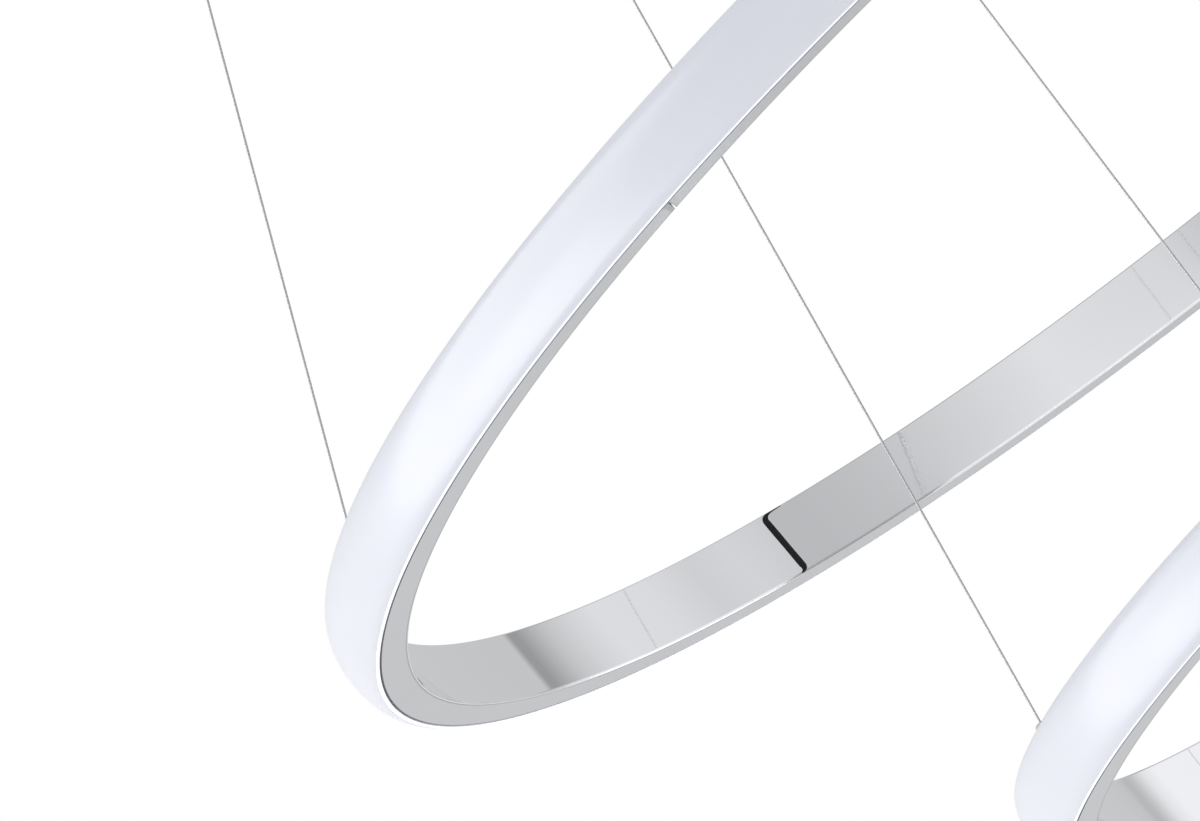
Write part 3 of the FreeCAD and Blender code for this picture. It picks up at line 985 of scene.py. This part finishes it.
# %% [markdown]
# ## What the metal sees
# Polished steel has no look of its own: it shows the room. A photographer would stand white boards and
# grey flags round the lamp and move them until the steel looks round. Here the world does it. Its tone
# runs with the compass angle and darkens overhead. Only glossy rays see this: the camera still sees
# plain white, and the light on matt surfaces stays even.


# %% Boards all round
class Studio(Finish):
    """The world's own network, made with the same helpers as a finish."""

    end = "World Output"

    def __init__(self, name):
        self.world = bpy.data.worlds.new(name)
        self.world.use_nodes = True
        self.tree = self.world.node_tree


# compass angle in degrees, then the tone of the board or flag there
BOARDS = [
    (-180, 0.85), (-150, 0.62), (-110, 0.80), (-75, 0.60), (-68, 0.665), (-62, 0.78), (-45, 0.86),
    (-35, 0.76), (-20, 0.62), (-10, 0.57), (-5.0, 0.57), (-4.6, 0.70), (2, 0.76), (8, 0.72), (16, 0.82),
    (26, 0.84), (31, 0.75), (36, 0.63), (42.3, 0.36), (44.2, 0.37), (44.6, 0.63), (62, 0.63),
    (78, 0.61), (90, 0.60), (100, 0.80), (135, 0.90), (180, 0.85),
]
# the same for what lies low behind the lamp, which only low rings and rounded lower edges mirror
LOW_BOARDS = [
    (-180, 0.84), (-150, 1.0), (-28, 1.0), (-25, 0.4), (-4, 0.4), (-1, 1.0), (34, 1.0), (38, 0.88),
    (42, 0.62), (44.5, 0.52), (47, 0.62), (52, 0.64), (84, 0.64), (96, 0.84), (180, 0.84),
]
# heights are the upward part of a ray's direction, from 0 at the horizon to 1 overhead
LOW_END, HIGH_START = 0.155, 0.185
OVERHEAD_START, OVERHEAD_DARK, OVERHEAD_TONE = 0.25, 0.6, 0.1
AMBIENT, AMBIENT_COLOUR = 0.77, (0.98, 0.985, 1.0, 1.0)


def soft_world():
    """Plain white for the camera, boards and flags for metal, even light for all else."""
    studio = Studio("studio")
    x, y, z = studio.split(studio.node("TexCoord", {}, {}, out="Generated"))
    compass = studio.node("Math", {"operation": "ARCTAN2"}, {0: y, 1: x}) / (2 * np.pi) + 0.5
    high, low = (
        studio.node("ValToRGB", {"stops": [((angle + 180) / 360, grey(tone)) for angle, tone in tones]},
                    {0: compass})
        for tones in (BOARDS, LOW_BOARDS))
    lowness = studio.node("MapRange", {}, {0: z, 1: LOW_END, 2: HIGH_START, 3: 1.0, 4: 0.0})
    boards = studio.node("Mix", {"data_type": "RGBA"}, {0: lowness, 6: high, 7: low}, out=2)
    overhead = studio.node("MapRange", {}, {0: z, 1: OVERHEAD_START, 2: 1.0, 3: 0.0, 4: OVERHEAD_DARK})
    boards = studio.node("Mix", {"data_type": "RGBA"},
                         {0: overhead, 6: boards, 7: grey(OVERHEAD_TONE)}, out=2)
    even = studio.tree.nodes["Background"]
    even.inputs["Color"].default_value = AMBIENT_COLOUR
    even.inputs["Strength"].default_value = AMBIENT
    seen = studio.node("Background", {}, {"Color": boards, "Strength": 1.0})
    white = studio.node("Background", {}, {"Color": grey(1.0), "Strength": 1.0})
    camera, glossy, through = studio.rays()
    metal = studio.node("MixShader", {}, {0: glossy, 1: Signal(studio, even.outputs[0]), 2: seen})
    studio.show(studio.node("MixShader", {}, {0: studio.either(camera, through), 1: metal, 2: white}))
    return studio.world


bpy.context.scene.world = soft_world()
print("boards round the lamp:", len(BOARDS), "low ones:", len(LOW_BOARDS))

# %% [markdown]
# ## Soft boxes
# One soft box fills the matt surfaces from the left. The other three light nothing matt: metal and opal
# only mirror them, as a broad sheen on the bands, a brighter streak in it, and a glint on an edge.

# %% Soft boxes
MIDDLE = (0.0, 0.0, -0.85)
# place, the point it looks at, width and height in metres, radiance, and the surfaces that see it
SOFT_BOXES = {
    "side_fill": ((-2.82, 1.03, -0.9), MIDDLE, 2.6, 2.0, 1.5, "matt"),
    "band_curtain": ((-2.73, -0.16, -0.45), (-0.33, -0.30, -0.72), 2.4, 5.0, 2.15, "gloss"),
    "band_streak": ((-2.863, -0.528, -1.444), (-0.463, -0.668, -1.714), 1.15, 2.35, 1.4, "gloss"),
    "edge_glint": ((1.217, 1.086, -1.639), (-0.357, 0.25, -0.731), 0.56, 1.0, 3.0, "gloss"),
}


def soft_box(name, place, target, width, height, radiance, seen_by):
    """Soft box that looks at a point; its power follows from radiance = watts / (pi * area)."""
    data = bpy.data.lights.new(name, "AREA")
    data.shape = "RECTANGLE"
    data.size, data.size_y = width, height
    data.energy = radiance * np.pi * width * height
    lamp = bpy.data.objects.new(name, data)
    lamp.location = place
    lamp.rotation_mode = "QUATERNION"
    lamp.rotation_quaternion = (Vector(target) - Vector(place)).to_track_quat("-Z", "Y")
    lamp.visible_glossy, lamp.visible_diffuse = seen_by == "gloss", seen_by == "matt"
    bpy.context.scene.collection.objects.link(lamp)


for name, settings in SOFT_BOXES.items():
    soft_box(name, *settings)
print("soft boxes:", sorted(SOFT_BOXES))

# %% [markdown]
# ## Cards below the lamp
# The round edge between inner wall and underside mirrors the floor as a thin line, bright in most
# places. A grey and a darker card on the floor break that line, as flags do in a studio. Only gloss
# sees them.

# %% Cards
CARD_LIFT = 10 * MM
# the tone that the metal sees, and the corners on the floor in metres
CARDS = {
    "dark_card": (0.40, [
        (0.75, 1.3), (0.9, 1.0), (1.4, 0.4), (2.2, -0.3), (4.1, -1.4), (22.0, -10.2), (29.5, -1.1),
        (5.75, 0.35), (2.95, 0.72), (1.85, 1.12), (1.15, 1.52), (0.95, 1.75)]),
    "grey_card": (0.62, [
        (0.95, 3.7), (1.65, 3.5), (2.65, 3.7), (4.7, 4.9), (11.5, 9.9), (28.0, 28.0), (28.0, 60.0),
        (0.6, 60.0), (0.6, 4.5)]),
}


def lay_card(name, tone, corners):
    """Flat card just above the floor, with this tone in metal and unseen by all other rays."""
    finish = Finish(name)
    finish.show(finish.node("Emission", {}, {"Color": grey(tone), "Strength": 1.0}))
    card = flat_sheet(name, corners, FLOOR_Z + CARD_LIFT, finish.material)
    card.visible_camera = card.visible_diffuse = card.visible_shadow = card.visible_transmission = False


for name, (tone, corners) in CARDS.items():
    lay_card(name, tone, corners)
print("cards:", sorted(CARDS))

# %% [markdown]
# ## The camera
# The photograph was taken from below with a very long lens and the camera turned on its side by forty
# degrees. Its place and turn were worked out from the rings' own ellipses.

# %% Camera
RIGHT = Vector((0.76508, 0.13561, -0.62949))
ABOVE = Vector((0.64393, -0.16112, 0.74793))
AHEAD = Vector((0.0, 0.97757, 0.21059))
CAMERA_PLACE = Vector((-0.31695, -3.73796, -1.49710))
LENS, SENSOR_WIDTH = 300.0, 36.0        # in millimetres
SEEN_FROM, SEEN_TO = 0.1, 200.0

camera_data = bpy.data.cameras.new("camera")
camera_data.lens, camera_data.sensor_width = LENS, SENSOR_WIDTH
camera_data.clip_start, camera_data.clip_end = SEEN_FROM, SEEN_TO
camera = bpy.data.objects.new("camera", camera_data)
turn = Matrix((RIGHT, ABOVE, -AHEAD)).transposed()
camera.matrix_world = Matrix.Translation(CAMERA_PLACE) @ turn.to_4x4()
bpy.context.scene.collection.objects.link(camera)
bpy.context.scene.camera = camera
bpy.context.scene.view_settings.view_transform = "Standard"
print("camera at", [round(value, 2) for value in CAMERA_PLACE])
